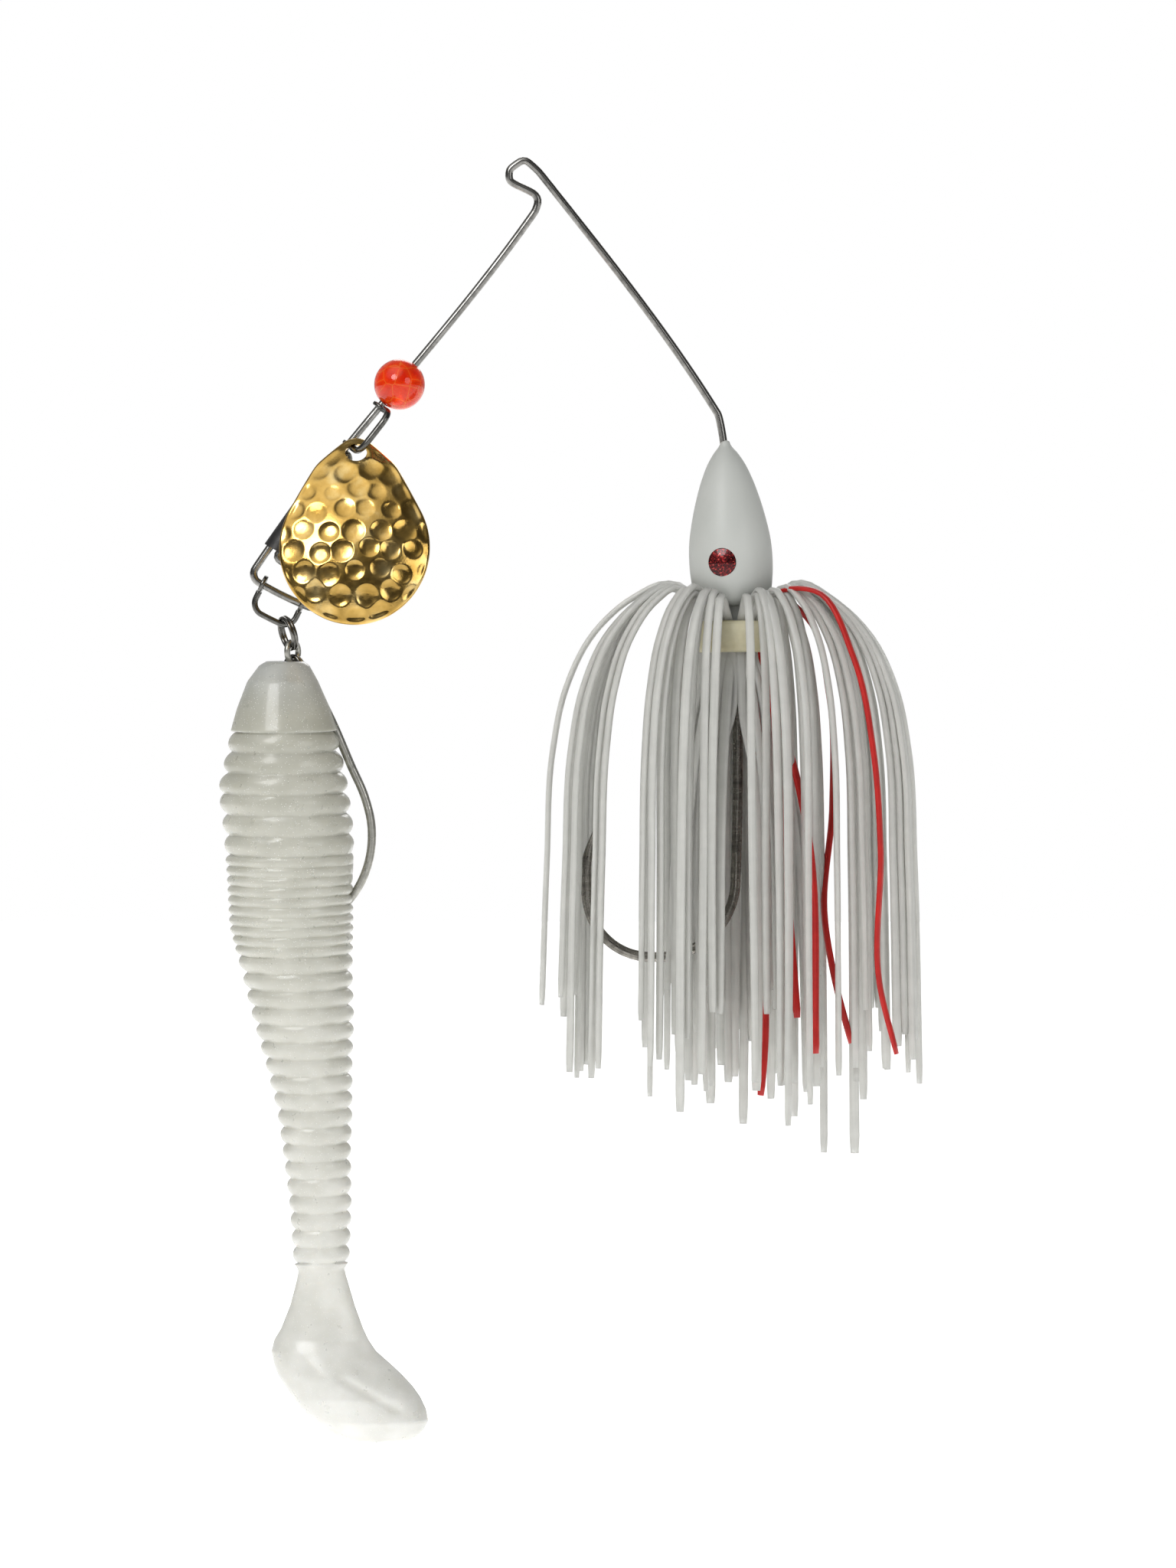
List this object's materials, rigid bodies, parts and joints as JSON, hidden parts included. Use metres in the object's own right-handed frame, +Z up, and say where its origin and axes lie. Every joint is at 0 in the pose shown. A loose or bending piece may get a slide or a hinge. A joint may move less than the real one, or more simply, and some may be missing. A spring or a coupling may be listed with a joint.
{
  "type": "fishing lure",
  "caption": "Skirted wire-frame spinner lure with a bullet head, hammered teardrop blade on a clevis, glass bead and a ribbed paddle-tail soft bait on a trailer hook.",
  "frame": {"origin": "centre of the line-tie bend of the frame wire", "axes": "+Z up, away from the hanging head and bait; the frame wire and both hooks lie in the XZ plane; +X from the blade arm to the head"},
  "size_m": [0.0875, 0.0468, 0.1599],
  "materials": {
    "stainless_wire": "drawn stainless spring wire, bright, slightly grey",
    "white_paint": "satin white powder coat over cast lead",
    "eye_red": "dark red holographic glitter under clear coat",
    "hook_nickel": "black-nickel plated high-carbon steel, polished",
    "collar_rubber": "cream latex rubber, matte",
    "strand_white": "milky translucent silicone, soft sheen",
    "strand_red": "opaque red silicone, soft sheen",
    "bead_red": "transparent orange-red crackle glass",
    "clevis_steel": "nickel-plated steel wire, slightly dark",
    "blade_gold": "hammered brass with polished gold plating",
    "bead_metal": "hollow nickel-plated bead, polished",
    "sleeve_black": "black PVC tubing, semi-gloss",
    "ring_steel": "nickel-plated spring steel ring",
    "trailer_steel": "tinned steel, slightly mottled",
    "bait_pearl": "pearl white soft plastic with fine glitter, translucent at thin edges"
  },
  "bodies": {
    "frame": {"wire_frame": "stainless_wire", "head_casting": "white_paint", "eye_front": "eye_red", "eye_back": "eye_red", "main_hook": "hook_nickel", "skirt_collar": "collar_rubber", "skirt_white_front": "strand_white", "skirt_white_back": "strand_white", "skirt_red": "strand_red"},
    "lock_sleeve": {"lock_sleeve": "sleeve_black"},
    "red_bead": {"red_bead": "bead_red"},
    "clevis": {"clevis": "clevis_steel"},
    "blade": {"blade": "blade_gold"},
    "bead_upper": {"bearing_bead_upper": "bead_metal"},
    "bead_middle": {"bearing_bead_middle": "bead_metal"},
    "bead_lower": {"bearing_bead_lower": "bead_metal"},
    "trailer_clevis": {"trailer_clevis": "clevis_steel"},
    "split_ring": {"split_ring": "ring_steel"},
    "trailer": {"trailer_hook": "trailer_steel", "screw_lock": "trailer_steel", "bait_body": "bait_pearl"},
    "tail": {"bait_tail": "bait_pearl"}
  },
  "joints": [
    {"name": "sleeve_slide", "type": "slide", "parent": "frame", "child": "lock_sleeve", "axis": [0.617, 0, 0.787], "range_m": [0, 0.006]},
    {"name": "red_bead_slide", "type": "slide", "parent": "lock_sleeve", "child": "red_bead", "axis": [0.617, 0, 0.787], "range_m": [0, 0.01]},
    {"name": "bead_upper_spin", "type": "hinge", "parent": "lock_sleeve", "child": "bead_upper", "pos_m": [-0.02278, 0, -0.03495], "axis": [0.617, 0, 0.787], "continuous": true},
    {"name": "bead_middle_spin", "type": "hinge", "parent": "lock_sleeve", "child": "bead_middle", "pos_m": [-0.02464, 0, -0.03731], "axis": [0.617, 0, 0.787], "continuous": true},
    {"name": "bead_lower_spin", "type": "hinge", "parent": "lock_sleeve", "child": "bead_lower", "pos_m": [-0.02649, 0, -0.03967], "axis": [0.617, 0, 0.787], "continuous": true},
    {"name": "blade_spin", "type": "hinge", "parent": "lock_sleeve", "child": "clevis", "pos_m": [-0.01967, 0, -0.03097], "axis": [0.617, 0, 0.787], "continuous": true},
    {"name": "blade_flare", "type": "hinge", "parent": "clevis", "child": "blade", "pos_m": [-0.02078, -0.00295, -0.03432], "axis": [-1, 0, 0], "range_deg": [-18, 0]},
    {"name": "trailer_clevis_swing", "type": "hinge", "parent": "frame", "child": "trailer_clevis", "pos_m": [-0.03, 0, -0.05169], "axis": [0.8966, 0, -0.4428], "range_deg": [-40, 40]},
    {"name": "ring_swing", "type": "hinge", "parent": "trailer_clevis", "child": "split_ring", "pos_m": [-0.0303, 0, -0.05534], "axis": [0.8966, 0, -0.4428], "range_deg": [-25, 25]},
    {"name": "trailer_swing", "type": "hinge", "parent": "split_ring", "child": "trailer", "pos_m": [-0.02872, 0, -0.05845], "axis": [-0.375, 0.927, 0], "range_deg": [-20, 20]},
    {"name": "tail_kick", "type": "hinge", "parent": "trailer", "child": "tail", "pos_m": [-0.0251, 0, -0.137], "axis": [1, 0, 0], "range_deg": [-30, 30], "stiffness_Nm_per_rad": 0.0005}
  ]
}
